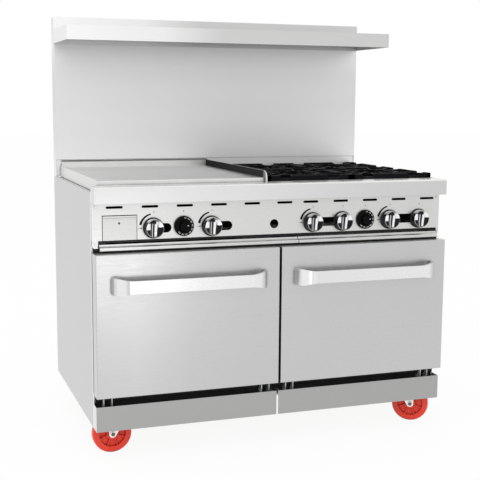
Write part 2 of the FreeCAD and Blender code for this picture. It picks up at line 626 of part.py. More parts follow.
def caster_wheel():
    r, w = WHEEL_R, WHEEL_W / 2
    rim = [(44, -w), (r - 4, -w), (r, -w + 5), (r, w - 5), (r - 4, w), (44, w)]
    face = Part.Face(Part.makePolygon([V(a, b, 0) for a, b in rim] + [V(rim[0][0], rim[0][1], 0)]))
    tyre = face.revolve(V(0, 0, 0), V(0, 1, 0), 360)
    web = Part.makeCylinder(45, 10, V(0, -5, 0), V(0, 1, 0))
    hub = Part.makeCylinder(19, 2 * w + 2, V(0, -w - 1, 0), V(0, 1, 0))
    bits = [tyre, web, hub]
    for i in range(8):
        rib = box(15, 46, -w + 3, w - 3, -1.8, 1.8)
        rib.rotate(V(0, 0, 0), V(0, 1, 0), 45 * i + 22.5)
        bits.append(rib)
    body = join(bits).cut(Part.makeCylinder(6.05, 60, V(0, -30, 0), V(0, 1, 0)))
    body.translate(V(TRAIL, 0, WHEEL_R))
    return body


# ---- write every node ---------------------------------------------------
write("chassis_frame", chassis_frame())
write("left_side_panel", side_panel())
write("right_side_panel", mirror(side_panel()))
write("rear_panel", rear_panel())
write("front_frame", front_frame())
write("oven_insulation", oven_insulation())
write("oven_floor_plates", oven_floor_plates())
write("oven_burners", oven_burners())
write("control_panel", control_panel())
write("front_ledge", front_ledge())
write("burner_box", burner_box())
write("griddle_plate", griddle_plate())
write("griddle_splash", griddle_splash())
write("griddle_burners", griddle_burners())
write("left_kick_plate", kick_plate())
write("right_kick_plate", mirror(kick_plate()))
write("riser_panel", riser_panel())
write("riser_back", riser_back())
write("high_shelf", high_shelf())
write("top_burners", top_burners())
write("gas_manifold", gas_manifold())
write("burner_valves", burner_valves())
write("hinge_brackets", hinge_brackets())
write("caster_plates", caster_plates())
write("grease_drawer", grease_drawer())
for side in ("left", "right"):
    write(side + "_oven_liner", oven_liner(side))
    write(side + "_door_shell", door_shell(side))
    write(side + "_door_liner", door_liner(side))
    write(side + "_door_hinges", door_hinges(side))
    write(side + "_door_handle", door_handle(side))
    write(side + "_drip_tray", drip_tray(side))
    write(side + "_oven_rack", oven_rack(side))
for j, gy in enumerate(GRATE_Y):
    for i, gx in enumerate(GRATE_X):
        write(("front", "rear")[j] + "_" + ("left", "right")[i] + "_grate", grate(gx, gy))
for name, x in KNOBS.items():
    write(name, knob(x))
for name, x in DIALS.items():
    write(name, dial(x))
for name, spot in CASTERS.items():
    write(name + "_caster_fork", place(caster_fork(), spot))
    write(name + "_caster_wheel", place(caster_wheel(), spot))
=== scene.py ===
import json
import math

import bmesh
import bpy
from bpy.props import FloatProperty, FloatVectorProperty, PointerProperty
from mathutils import Matrix, Vector


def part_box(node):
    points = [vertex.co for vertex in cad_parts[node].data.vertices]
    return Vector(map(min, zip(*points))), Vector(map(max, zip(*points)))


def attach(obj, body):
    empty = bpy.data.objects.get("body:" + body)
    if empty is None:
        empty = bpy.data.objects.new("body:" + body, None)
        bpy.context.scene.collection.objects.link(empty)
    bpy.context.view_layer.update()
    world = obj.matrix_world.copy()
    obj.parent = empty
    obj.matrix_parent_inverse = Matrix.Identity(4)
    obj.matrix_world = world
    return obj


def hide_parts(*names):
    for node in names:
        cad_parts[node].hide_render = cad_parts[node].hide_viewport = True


bl_info = {
    "name": "Commercial Gas Range",
    "version": (1, 0, 0),
    "blender": (4, 5, 0),
    "location": "View3D > Sidebar > Gas Range",
    "description": "Finishes and fine pieces for a gas range with griddle, burners and two ovens",
    "category": "Object",
}

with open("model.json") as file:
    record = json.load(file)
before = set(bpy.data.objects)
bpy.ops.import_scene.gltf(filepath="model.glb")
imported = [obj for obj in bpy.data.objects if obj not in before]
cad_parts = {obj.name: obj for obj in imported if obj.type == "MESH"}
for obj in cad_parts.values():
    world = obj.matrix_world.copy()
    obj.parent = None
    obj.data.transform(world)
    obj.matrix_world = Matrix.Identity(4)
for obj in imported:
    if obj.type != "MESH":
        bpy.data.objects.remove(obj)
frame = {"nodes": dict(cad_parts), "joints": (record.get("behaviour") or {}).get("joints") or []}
NODES = frame["nodes"]
JOINTS = {j["name"]: j for j in frame["joints"]}
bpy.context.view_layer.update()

SIDES = ("left", "right")
CORNERS = ("front_left", "front_right", "rear_left", "rear_right")
KNOBS = ("griddle_knob_left", "griddle_knob_right",
         "burner_knob_1", "burner_knob_2", "burner_knob_3", "burner_knob_4")
DIALS = ("left_oven_dial", "right_oven_dial")
PANEL_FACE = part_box("control_panel")[0].y + 0.0016
DECK_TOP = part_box("burner_box")[1].z


# ---- sizes and colours ----------------------------------------------------
class SteelSettings(bpy.types.PropertyGroup):
    """Colours of the sheet metal."""
    door: FloatVectorProperty(name="Doors", description="Colour of the door skins", subtype="COLOR",
                              size=3, default=(0.55, 0.55, 0.555), min=0, max=1)
    trim: FloatVectorProperty(name="Trim", description="Colour of panel, trays and deck", subtype="COLOR",
                              size=3, default=(0.65, 0.65, 0.635), min=0, max=1)
    side: FloatVectorProperty(name="Sides", description="Colour of the side sheets", subtype="COLOR",
                              size=3, default=(0.62, 0.61, 0.615), min=0, max=1)
    riser: FloatVectorProperty(name="Riser", description="Colour of the riser", subtype="COLOR",
                               size=3, default=(0.74, 0.74, 0.74), min=0, max=1)
    kick: FloatVectorProperty(name="Kick plates", description="Colour of the kick plates", subtype="COLOR",
                              size=3, default=(0.40, 0.40, 0.395), min=0, max=1)
    griddle: FloatVectorProperty(name="Griddle", description="Colour of the griddle plate", subtype="COLOR",
                                 size=3, default=(0.80, 0.80, 0.795), min=0, max=1)
    brush: FloatProperty(name="Brush", description="Strength of the brushed grain", subtype="FACTOR",
                         default=0.35, min=0, max=1)


class StageSettings(bpy.types.PropertyGroup):
    """Camera, lamps and floor."""
    camera_place: FloatVectorProperty(name="Camera", description="Place of the camera",
                                      subtype="TRANSLATION", size=3, unit="LENGTH",
                                      default=(-1.180, -3.353, 1.134))
    camera_turn: FloatVectorProperty(name="Turn", description="Yaw, pitch and roll of the camera",
                                     subtype="EULER", size=3, default=(0.3365, -0.1396, 0.006))
    lens: FloatProperty(name="Lens", description="Focal length in millimetres",
                        default=74.34, min=10, max=200)
    floor: FloatVectorProperty(name="Floor", description="Colour of the floor", subtype="COLOR",
                               size=3, default=(0.92, 0.92, 0.92), min=0, max=1)
    key: FloatProperty(name="Key lamp", description="Power of the main lamp in watts",
                       default=22, min=0)
    glow: FloatProperty(name="Low lamp", description="Power of the low lamp in watts",
                        default=1.8, min=0)
    fill: FloatProperty(name="Top lamp", description="Power of the lamp overhead in watts",
                        default=16, min=0)


# ---- node helpers ---------------------------------------------------------
STEEL = 0.9  # how metallic the sheets are
ROLLED = {"x": (1.2, 60, 60), "y": (60, 1.2, 60), "z": (60, 60, 1.2)}  # stretch of the grain
FINE = 0.0004  # depth of the finest bumps, in metres


class Shader:
    """A new material with a principled shader, and short calls to wire nodes into it."""

    def __init__(self, name, colour, roughness, metallic=0.0, specular=0.5):
        self.mat = bpy.data.materials.new(name)
        self.mat.use_nodes = True
        self.tree = self.mat.node_tree
        self.links = self.tree.links
        self.bsdf = self.tree.nodes["Principled BSDF"]
        self.put("Base Color", (*colour, 1))
        self.put("Roughness", roughness)
        self.put("Metallic", metallic)
        self.put("Specular IOR Level", specular)
        self.colour = (*colour, 1)

    def put(self, socket, value):
        self.bsdf.inputs[socket].default_value = value

    def feed(self, socket, source):
        self.links.new(source, self.bsdf.inputs[socket])

    def node(self, kind, **values):
        made = self.tree.nodes.new(kind)
        for key, value in values.items():
            setattr(made, key, value)
        return made

    def set_or_link(self, socket, value):
        if isinstance(value, bpy.types.NodeSocket):
            self.links.new(value, socket)
        elif isinstance(value, tuple):
            socket.default_value = (*value, 1)
        else:
            socket.default_value = value

    def coords(self, stretch=(1, 1, 1)):
        place = self.node("ShaderNodeTexCoord")
        mapping = self.node("ShaderNodeMapping")
        mapping.inputs["Scale"].default_value = stretch
        self.links.new(place.outputs["Object"], mapping.inputs["Vector"])
        return mapping.outputs["Vector"]

    def split(self, source):
        """X, Y and Z of a point (Object) or of the way that its surface faces (Normal)."""
        place = self.node("ShaderNodeTexCoord")
        parts = self.node("ShaderNodeSeparateXYZ")
        self.links.new(place.outputs[source], parts.inputs["Vector"])
        return parts.outputs

    def noise(self, scale, stretch=(1, 1, 1), detail=4.0, rough=0.5):
        made = self.node("ShaderNodeTexNoise")
        made.inputs["Scale"].default_value = scale
        made.inputs["Detail"].default_value = detail
        made.inputs["Roughness"].default_value = rough
        self.links.new(self.coords(stretch), made.inputs["Vector"])
        return made.outputs["Fac"]

    def grain(self, along="x"):
        """Fine scratches that run along one axis."""
        return self.noise(14, ROLLED[along], detail=6, rough=0.6)

    def ramp(self, value, low, high, a=0.0, b=1.0):
        made = self.node("ShaderNodeMapRange")
        made.inputs["From Min"].default_value = low
        made.inputs["From Max"].default_value = high
        made.inputs["To Min"].default_value = a
        made.inputs["To Max"].default_value = b
        self.links.new(value, made.inputs["Value"])
        return made.outputs["Result"]

    def maths(self, kind, *values):
        made = self.node("ShaderNodeMath", operation=kind)
        for socket, value in zip(made.inputs, values):
            self.set_or_link(socket, value)
        return made.outputs[0]

    def bands(self, value, stops):
        """Grey that runs smoothly through (position, grey) stops."""
        made = self.node("ShaderNodeValToRGB")
        ramp = made.color_ramp
        for place, grey in stops[1:-1]:
            ramp.elements.new(place).color = (grey, grey, grey, 1)
        for element, (place, grey) in ((ramp.elements[0], stops[0]), (ramp.elements[-1], stops[-1])):
            element.position = place
            element.color = (grey, grey, grey, 1)
        self.links.new(value, made.inputs["Fac"])
        return made.outputs["Color"]

    def blend(self, under, over, share, kind="MIX"):
        """Base colour that goes from under to over with share."""
        made = self.node("ShaderNodeMix", data_type="RGBA", blend_type=kind)
        self.set_or_link(made.inputs["A"], under)
        self.set_or_link(made.inputs["B"], over)
        self.set_or_link(made.inputs["Factor"], share)
        self.feed("Base Color", made.outputs["Result"])
        return made.outputs["Result"]

    def tint(self, value, darker, lighter):
        """Base colour that runs from darker to lighter with value."""
        return self.blend(tuple(c * darker for c in self.colour[:3]),
                          tuple(min(1, c * lighter) for c in self.colour[:3]), value)

    def scaled(self, colour, share):
        """Base colour made lighter or darker by share."""
        made = self.node("ShaderNodeVectorMath", operation="SCALE")
        self.links.new(colour, made.inputs[0])
        self.links.new(share, made.inputs["Scale"])
        self.feed("Base Color", made.outputs["Vector"])
        return made.outputs["Vector"]

    def seam_shade(self, reach, floor):
        """Darken the base colour where other surfaces stand close."""
        near = self.node("ShaderNodeAmbientOcclusion", samples=6)
        near.inputs["Distance"].default_value = reach
        depth = self.ramp(near.outputs["AO"], 0.25, 0.85, floor, 1.0)
        colour = self.bsdf.inputs["Base Color"].links[0].from_socket
        self.blend(colour, depth, 1.0, "MULTIPLY")

    def rough(self, value, low, high):
        """Roughness that follows a noise."""
        self.feed("Roughness", self.ramp(value, 0.3, 0.7, low, high))

    def bump(self, value, strength, distance=FINE):
        made = self.node("ShaderNodeBump")
        made.inputs["Strength"].default_value = strength
        made.inputs["Distance"].default_value = distance
        self.links.new(value, made.inputs["Height"])
        self.feed("Normal", made.outputs["Normal"])

    def satin(self, grain, low, high, strength=0.02):
        """Roughness and fine bump that follow one grain."""
        self.rough(grain, low, high)
        self.bump(grain, strength)


# ---- steel finishes, some with painted light and shade --------------------
def brushed(name, colour, roughness=0.32, along="x", strength=0.35):
    """Brushed stainless sheet: fine grain along one axis over slow cloudy variation."""
    made = Shader(name, colour, roughness, metallic=STEEL)
    lines = made.grain(along)
    clouds = made.noise(2.2, detail=2)
    mix = made.node("ShaderNodeMix", data_type="FLOAT")
    mix.inputs["Factor"].default_value = 0.55
    made.links.new(lines, mix.inputs["A"])
    made.links.new(clouds, mix.inputs["B"])
    made.tint(made.ramp(mix.outputs["Result"], 0.35, 0.65), 0.982, 1.015)
    made.satin(lines, roughness - 0.04, roughness + 0.06, strength * 0.08)
    made.seam_shade(0.012, 0.30)
    return made.mat


def toned_sheet(name, axis, ends, stops, roughness=0.30):
    """Brushed sheet with painted light: its brightness drifts along one axis, through (share of its length,
    grey) stops.
    """
    made = Shader(name, (stops[0][1],) * 3, roughness, metallic=STEEL)
    lines = made.grain()
    clouds = made.noise(2.2, detail=2)
    # painted light: the stops make the sheet lighter and darker along the axis, as light falling on it
    # would
    tone = made.bands(made.ramp(made.split("Object")[axis], *ends), stops)
    made.scaled(tone, made.ramp(made.maths("ADD", lines, clouds), 0.7, 1.3, 0.982, 1.015))
    made.satin(lines, roughness - 0.04, roughness + 0.06, 0.028)
    made.seam_shade(0.012, 0.30)
    return made.mat


def shelf_sheet(name, colour, ends, stops, shaded):
    """Shelf: brushed sheet with painted light, lighter to the left, and painted shade underneath, where it
    is dull and dark.
    """
    made = Shader(name, colour, 0.34, metallic=STEEL)
    grain = made.grain()
    # painted light: lighter toward the left end
    sheet = made.bands(made.ramp(made.split("Object")["X"], *ends), stops)
    base = made.tint(made.ramp(grain, 0.35, 0.65), 0.98, 1.015)
    # painted shade: faces that look down take the dark shaded colour
    under = made.ramp(made.split("Normal")["Z"], -0.5, -0.8)
    made.blend(made.blend(base, sheet, 0.85), shaded, under)
    made.feed("Metallic", made.ramp(under, 0, 1, STEEL, 0.2))
    made.put("Specular IOR Level", 0.1)
    made.seam_shade(0.006, 0.45)
    made.satin(grain, 0.30, 0.40)
    return made.mat


def handle_finish(name, colour, ends, stops):
    """Handle: flat middle, with painted shade where the bends turn back to the door and painted highlights
    beside them.
    """
    made = Shader(name, colour, 0.26, metallic=STEEL)
    grain = made.grain()
    # painted light and shade along the bar, from the stops
    steel = made.bands(made.ramp(made.split("Object")["X"], *ends), stops)
    made.blend(made.tint(made.ramp(grain, 0.35, 0.65), 0.97, 1.02), steel, 0.8)
    made.seam_shade(0.006, 0.35)
    made.satin(grain, 0.24, 0.30, 0.008)
    return made.mat


def ledge_sheet(name, colour, ends, stops, nose):
    """Ledge: brushed face with painted light along its length, under a rounded nose with a painted
    highlight.
    """
    made = Shader(name, colour, 0.30, metallic=STEEL)
    grain = made.grain()
    # painted light: lighter at the left end, darker to the right
    tone = made.bands(made.ramp(made.split("Object")["X"], *ends), stops)
    face = made.scaled(tone, made.ramp(grain, 0.35, 0.65, 0.985, 1.012))
    # painted highlight: faces that look up take the bright nose colour
    made.blend(face, nose, made.ramp(made.split("Normal")["Z"], 0.15, 0.55))
    made.satin(grain, 0.26, 0.36)
    return made.mat


def tray_sheet(name, colour, lip_shade, edge_top, nose_back):
    """Drip tray: bright rail across the front, with painted shade along the rail's lower edge."""
    made = Shader(name, colour, 0.28, metallic=STEEL)
    grain = made.grain()
    at = made.split("Object")
    base = made.tint(made.ramp(grain, 0.35, 0.65), 0.97, 1.02)
    # painted shade: the front lip under the rail's top edge takes the dark colour and loses its metal
    low = made.ramp(at["Z"], edge_top, edge_top - 0.001)
    dark = made.maths("MULTIPLY", low, made.ramp(at["Y"], nose_back, nose_back - 0.001))
    made.blend(base, lip_shade, dark)
    made.feed("Metallic", made.ramp(dark, 0, 1, STEEL, 0.1))
    made.put("Specular IOR Level", 0.1)
    made.satin(grain, 0.26, 0.36)
    return made.mat


def side_sheet(name, colour, bright, fold_y, fold=0.016):
    """Side sheet: soft vertical grain, with a painted highlight along the rounded fold at its front edge.
    """
    made = Shader(name, colour, 0.36, metallic=STEEL)
    grain = made.grain("z")
    base = made.tint(made.ramp(grain, 0.35, 0.65), 0.985, 1.012)
    # painted highlight: the front fold takes the bright colour
    share = made.ramp(made.split("Object")["Y"], fold_y + fold, fold_y + fold * 0.5, 0.0, 0.85)
    made.blend(base, bright, share)
    made.satin(grain, 0.32, 0.42)
    return made.mat


def kick_sheet(name, colour, left_end_highlight):
    """Kick plate: satin face with a painted highlight on its left-hand end."""
    made = Shader(name, colour, 0.38, metallic=STEEL)
    grain = made.grain()
    base = made.tint(made.ramp(grain, 0.35, 0.65), 0.985, 1.012)
    # painted highlight: faces that look left take the bright end colour
    made.blend(base, left_end_highlight, made.ramp(made.split("Normal")["X"], -0.5, -0.8))
    made.satin(grain, 0.34, 0.44)
    return made.mat


def deck_finish(name, top, inside):
    """Bright sheet on top of the deck, black inside the burner bays."""
    made = Shader(name, top, 0.35, metallic=STEEL, specular=0.2)
    upper = made.ramp(made.split("Object")["Z"], DECK_TOP - 0.0025, DECK_TOP - 0.0018)
    made.blend(inside, top, upper)
    made.feed("Metallic", made.ramp(upper, 0, 1, 0.0, STEEL))
    made.rough(made.noise(25), 0.32, 0.44)
    made.bump(made.noise(60), 0.04)
    return made.mat


def ground_steel(name, colour):
    """Thick griddle steel: ground flat, with faint blotches."""
    made = Shader(name, colour, 0.34, metallic=1.0)
    swirl = made.noise(9, detail=5, rough=0.6)
    made.tint(made.ramp(swirl, 0.3, 0.7), 0.94, 1.04)
    made.rough(swirl, 0.30, 0.42)
    made.bump(made.noise(40, (1, 30, 1), detail=4), 0.05)
    return made.mat


def splash_plate(name, light, dark, right_x, front_y):
    """Splash: bare sheet, with painted shade on the left face of its right-hand wall, less so at the front.
    """
    made = Shader(name, light, 0.34, metallic=STEEL, specular=0.0)
    at = made.split("Object")
    beside = made.ramp(at["X"], right_x - 0.007, right_x - 0.006)
    # painted shade: the wall's left-facing face turns dark and dull
    painted_shade_face = made.maths("MULTIPLY", beside, made.ramp(made.split("Normal")["X"], -0.4, -0.7))
    share = made.maths("MULTIPLY", painted_shade_face, made.ramp(at["Y"], front_y + 0.001, front_y + 0.035, 0.35, 1.0))
    made.feed("Metallic", made.ramp(share, 0, 1, STEEL, 0.0))
    made.blend(light, dark, share)
    made.rough(made.noise(25), 0.30, 0.42)
    made.bump(made.noise(60), 0.04)
    return made.mat


# ---- other finishes, some with painted highlights and reflections ---------
def enamel(name, colour, roughness=0.18):
    """Glossy vitreous enamel with faint orange peel."""
    made = Shader(name, colour, roughness, specular=0.18)
    made.rough(made.noise(30, detail=3), roughness - 0.05, roughness + 0.12)
    made.bump(made.noise(120, detail=2), 0.05, 0.0005)
    return made.mat


def casting(name, colour, roughness=0.5, top_highlight=None):
    """Seasoned cast iron: gritty and black, with a painted highlight on its upward faces when a highlight
    colour is given.
    """
    made = Shader(name, colour, roughness, specular=0.03)
    grit = made.noise(260, detail=6, rough=0.7)
    base = made.tint(made.noise(12, detail=4), 0.6, 1.6)
    # painted highlight: faces that look up turn greyer
    if top_highlight:
        made.blend(base, top_highlight, made.ramp(made.split("Normal")["Z"], 0.85, 0.98))
    made.rough(grit, roughness - 0.12, roughness + 0.18)
    made.bump(grit, 0.35, 0.0008)
    return made.mat


def galvanised(name, colour):
    """Zinc coated sheet with its spangle."""
    made = Shader(name, colour, 0.42, metallic=0.8)
    cells = made.node("ShaderNodeTexVoronoi")
    cells.inputs["Scale"].default_value = 70
    made.links.new(made.coords(), cells.inputs["Vector"])
    made.tint(made.ramp(cells.outputs["Distance"], 0.0, 0.6), 0.85, 1.1)
    made.rough(made.noise(20), 0.35, 0.5)
    made.bump(cells.outputs["Distance"], 0.04)
    return made.mat


def polished(name, colour, roughness=0.07):
    """Bright metal that is nearly a mirror."""
    made = Shader(name, colour, roughness, metallic=1.0)
    made.rough(made.noise(60, detail=3), roughness, roughness + 0.05)
    made.bump(made.noise(9, detail=1), 0.02, 0.0006)
    return made.mat


def knob_finish(name, bright, dark):
    """Plated metal with painted reflections: the dark bands that a dished face and a raised grip pick up.
    """
    made = Shader(name, bright, 0.09, metallic=1.0, specular=0.08)
    at = made.split("Object")
    x, y, z = at["X"], at["Y"], at["Z"]

    def above(value, edge, blur=0.0012):
        return made.ramp(value, edge - blur, edge + blur)

    def below(value, edge, blur=0.0012):
        return made.ramp(value, edge - blur, edge + blur, 1.0, 0.0)

    def both(first, *others):
        for other in others:
            first = made.maths("MULTIPLY", first, other)
        return first

    def either(first, *others):
        for other in others:
            first = made.maths("MAXIMUM", first, other)
        return first

    # painted reflections: the masks below paint the dark bands in the knob's own frame, so they turn with
    # it
    square = made.maths("ADD", made.maths("MULTIPLY", x, x), made.maths("MULTIPLY", z, z))
    radius = made.maths("SQRT", square)
    wall = both(above(radius, 0.0281, 0.0004), below(y, -0.0060, 0.0003))
    flange = both(above(radius, 0.0290, 0.0004), above(y, -0.0060, 0.0003))
    dark_wall = both(wall, below(made.split("Normal")["Z"], 0.72, 0.12))
    face = below(radius, 0.0274, 0.0004)
    flank = both(above(x, -0.0150), below(x, -0.0040))
    streak = both(above(x, -0.0106, 0.0008), below(x, -0.0082, 0.0008))
    dark_flank = made.maths("SUBTRACT", flank, made.maths("MULTIPLY", streak, 0.7))
    low_left = both(below(x, -0.0140), below(z, -0.0030))
    high_left = both(below(x, 0.0010), above(z, 0.0165))
    low_right = both(above(x, 0.0055), below(z, 0.0050))
    right_edge = both(above(x, 0.0050), below(x, 0.0085), below(z, 0.0150))
    patches = either(dark_flank, low_left, low_right, right_edge, high_left)
    # painted reflection mask: where it is 1 the plating turns dark and dull
    shade = either(dark_wall, flange, both(face, patches))
    made.blend(bright, dark, shade)
    made.feed("Metallic", made.maths("SUBTRACT", 1.0, shade))
    made.rough(made.noise(60, detail=3), 0.07, 0.13)
    made.bump(made.noise(30, detail=1), 0.02)
    return made.mat


def moulded(name, colour, roughness=0.3, texture=0.06, specular=0.4):
    """Moulded plastic or print, with a fine even texture."""
    made = Shader(name, colour, roughness, specular=specular)
    made.tint(made.noise(25, detail=3), 0.93, 1.05)
    made.rough(made.noise(40), roughness - 0.05, roughness + 0.08)
    made.bump(made.noise(420, detail=3), texture)
    return made.mat


def wheel_finish(name, colour):
    """Moulded wheel, in shade between its ribs."""
    made = Shader(name, colour, 0.36, specular=0.35)
    made.tint(made.noise(25, detail=3), 0.93, 1.05)
    made.seam_shade(0.008, 0.50)
    made.rough(made.noise(40), 0.36, 0.48)
    made.bump(made.noise(420, detail=3), 0.06)
    return made.mat


def blanket(name, colour):
    """Matted mineral wool."""
    made = Shader(name, colour, 0.95, specular=0.2)
    fibre = made.noise(90, (1, 6, 1), detail=8, rough=0.7)
    made.tint(fibre, 0.8, 1.15)
    made.bump(fibre, 0.6, 0.002)
    return made.mat


def seen_directly(tree):
    """1 where a ray is seen, also in metal or glass, and 0 for the light that falls on the object."""
    rays = tree.nodes.new("ShaderNodeLightPath")
    seen = rays.outputs["Is Camera Ray"]
    for kind in ("Is Glossy Ray", "Is Transmission Ray"):
        both = tree.nodes.new("ShaderNodeMath")
        both.operation = "MAXIMUM"
        tree.links.new(seen, both.inputs[0])
        tree.links.new(rays.outputs[kind], both.inputs[1])
        seen = both.outputs[0]
    return seen


def dress(material, *names):
    """Give CAD nodes or pieces one material in every slot."""
    for name in names:
        obj = NODES[name] if isinstance(name, str) else name
        if not obj.material_slots:
            obj.data.materials.append(material)
        for slot in obj.material_slots:
            slot.material = material


# ---- mesh helpers ---------------------------------------------------------
def finish_piece(bm, name, material, body, smooth=False):
    """Turn a bmesh into an object that rides on a CAD body."""
    mesh = bpy.data.meshes.new(name)
    bmesh.ops.recalc_face_normals(bm, faces=bm.faces)
    bm.to_mesh(mesh)
    bm.free()
    obj = bpy.data.objects.new(name, mesh)
    bpy.context.scene.collection.objects.link(obj)
    mesh.materials.append(material)
    if smooth:
        mesh.shade_smooth()
    if body:
        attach(obj, body)
    return obj


def disc(bm, centre, radius, depth, segments=16, taper=1.0):
    """A short round bar along Y, centred on a point; taper scales its front end."""
    turn = Matrix.Rotation(math.pi / 2, 4, "X")
    bmesh.ops.create_cone(bm, cap_ends=True, segments=segments, radius1=radius, radius2=radius * taper,
                          depth=depth, matrix=Matrix.Translation(centre) @ turn)


def bar(bm, x0, x1, z0, z1, y):
    """A flat upright rectangle."""
    bm.faces.new([bm.verts.new(p) for p in ((x0, y, z0), (x1, y, z0), (x1, y, z1), (x0, y, z1))])


def arc_strip(bm, centre, r0, r1, a0, a1, y, steps=18, even=False):
    """A flat curved band on the panel face, thinning along its length.

    Angles run clockwise from straight up.
    """
    pairs = []
    for i in range(steps + 1):
        t = i / steps
        a = math.radians(a0 + (a1 - a0) * t)
        inner = r0 if even else r1 - (r1 - r0) * (1.0 - 0.45 * t)
        pairs.append([bm.verts.new((centre[0] + r * math.sin(a), y, centre[1] + r * math.cos(a)))
                      for r in (inner, r1)])
    for (a, b), (c, d) in zip(pairs, pairs[1:]):
        bm.faces.new((a, b, d, c))


# ---- operators ------------------------------------------------------------
class RANGE_OT_finishes(bpy.types.Operator):
    """Give every CAD node its finish"""
    bl_idname = "gas_range.finishes"
    bl_label = "Finishes"

    # painted shade under the drip tray rails
    SOOT = (0.020, 0.018, 0.016)
    ENAMEL_BLACK = (0.008, 0.008, 0.009)
    # Painted light and shade along a piece: share of its length, then grey (doors and riser: times their
    # own grey).
    # painted light along the shelf: lighter at the left end
    SHELF_TONE = ((0.0, 0.88), (0.28, 0.88 * 0.96), (0.46, 0.61), (1.0, 0.61))
    # painted light along the ledge: lighter at the left, darker to the right
    LEDGE_TONE = ((0.0, 0.70), (0.4, 0.71), (0.8, 0.62), (1.0, 0.60))
    # painted light along each handle: dark at the ends and bends, bright beside them
    HANDLE_TONE = ((0.0, 0.50), (0.03, 0.84), (0.070, 0.82), (0.092, 0.52), (0.100, 0.82), (0.125, 0.75),
                   (0.50, 0.78), (0.86, 0.80), (0.93, 0.82), (0.955, 0.58), (1.0, 0.42))
    # painted light on the left door: lighter toward its left side
    DOOR_TONE = ((0.0, 1.07), (0.20, 1.10), (0.50, 1.0), (1.0, 1.0))
    # painted light and shade up the riser: lighter near the deck and near the shelf, darker between
    RISER_TONE = ((0.0, 1.18), (0.25, 1.04), (0.45, 0.96), (0.65, 0.98), (0.83, 1.16), (1.0, 1.10))

    def execute(self, context):
        steel = context.scene.range_steel
        self.dress_sheets(steel)
        self.dress_tops(steel)
        self.dress_inside(steel.brush)
        self.dress_fittings()
        return {"FINISHED"}

    def ends(self, name, axis="x"):
        """Where a node starts and ends along an axis."""
        return tuple(getattr(corner, axis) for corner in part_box(name))

    def times(self, tone, grey):
        """Tone stops that multiply one grey."""
        return [(place, share * grey) for place, share in tone]

    def dress_sheets(self, steel):
        """Doors, panel, shelf, riser, sides, kick plates, trays and handles."""
        dress(brushed("brushed door skin", steel.door, 0.30, "x", steel.brush), "right_door_shell")
        dress(toned_sheet("brushed left door skin with painted light", "X", self.ends("left_door_shell"),
                          self.times(self.DOOR_TONE, steel.door[0])), "left_door_shell")
        dress(brushed("brushed trim", steel.trim, 0.30, "x", steel.brush), "control_panel")
        dress(brushed("brushed drawer front", (0.57, 0.57, 0.56), 0.30, "x", steel.brush), "grease_drawer")
        dress(shelf_sheet("shelf sheet with painted light and shade", (0.65, 0.65, 0.635), self.ends("high_shelf"), self.SHELF_TONE,
                          (0.06, 0.06, 0.06)), "high_shelf")
        dress(ledge_sheet("ledge sheet with painted light", (0.65, 0.65, 0.635), self.ends("front_ledge"), self.LEDGE_TONE,
                          (0.84, 0.84, 0.83)), "front_ledge")
        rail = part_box("left_drip_tray")[0]
        dress(tray_sheet("drip tray sheet with painted shade", steel.trim, self.SOOT, rail.z + 0.0045, rail.y + 0.030),
              "left_drip_tray", "right_drip_tray")
        dress(side_sheet("brushed side sheet with painted highlight", steel.side, (0.88, 0.88, 0.88),
                         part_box("left_side_panel")[0].y), "left_side_panel", "right_side_panel")
        dress(toned_sheet("satin riser sheet with painted light", "Z", self.ends("riser_panel", "z"),
                          self.times(self.RISER_TONE, steel.riser[0]), 0.45), "riser_panel")
        dress(kick_sheet("satin kick plate with painted highlight", steel.kick, (0.80, 0.80, 0.79)),
              "left_kick_plate", "right_kick_plate")
        for side in SIDES:
            handle = side + "_door_handle"
            dress(handle_finish(side + " handle steel with painted light", (0.72, 0.72, 0.72), self.ends(handle),
                                self.HANDLE_TONE), handle)

    def dress_tops(self, steel):
        """Griddle, its splash, the deck and the castings."""
        dress(ground_steel("ground griddle steel", steel.griddle), "griddle_plate")
        splash_lo, splash_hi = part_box("griddle_splash")
        dress(splash_plate("splash plate with painted shade", (0.74, 0.74, 0.735), (0.035, 0.035, 0.035),
                           splash_hi.x, splash_lo.y), "griddle_splash")
        dress(deck_finish("deck sheet", tuple(steel.trim), self.ENAMEL_BLACK), "burner_box")
        dress(casting("black cast iron", (0.022, 0.022, 0.022)), "top_burners",
              *[corner + "_grate" for corner in CORNERS])

    def dress_inside(self, brush):
        """Frame, liners, back, gas parts and insulation."""
        dress(enamel("black enamel", self.ENAMEL_BLACK), "front_frame", "left_door_liner",
              "right_door_liner", "left_oven_liner", "right_oven_liner", "gas_manifold")
        # black paint on the chassis, partly painted shade: it keeps the gaps in front of it dark
        dress(enamel("black frame paint", (0.010, 0.010, 0.010), 0.40), "chassis_frame")
        dress(galvanised("galvanised sheet", (0.55, 0.56, 0.57)), "rear_panel", "riser_back",
              "caster_plates", "hinge_brackets")
        dress(brushed("mill finish steel", (0.40, 0.39, 0.38), 0.42, "y", brush), "oven_floor_plates",
              "oven_burners", "griddle_burners", "left_door_hinges", "right_door_hinges")
        dress(polished("valve brass", (0.72, 0.52, 0.22), 0.2), "burner_valves")
        dress(blanket("mineral wool", (0.72, 0.66, 0.42)), "oven_insulation")

    def dress_fittings(self):
        """Knobs, dials, racks and casters."""
        dress(polished("knob chrome", (0.86, 0.86, 0.87)), *KNOBS)
        dress(moulded("black phenolic", (0.004, 0.004, 0.004), 0.30, specular=0.05), *DIALS)
        dress(polished("plated wire", (0.80, 0.80, 0.80), 0.15), "left_oven_rack", "right_oven_rack")
        dress(galvanised("zinc plate", (0.86, 0.86, 0.82)),
              *[corner + "_caster_fork" for corner in CORNERS])
        dress(wheel_finish("red polyurethane", (0.86, 0.060, 0.032)),
              *[corner + "_caster_wheel" for corner in CORNERS])


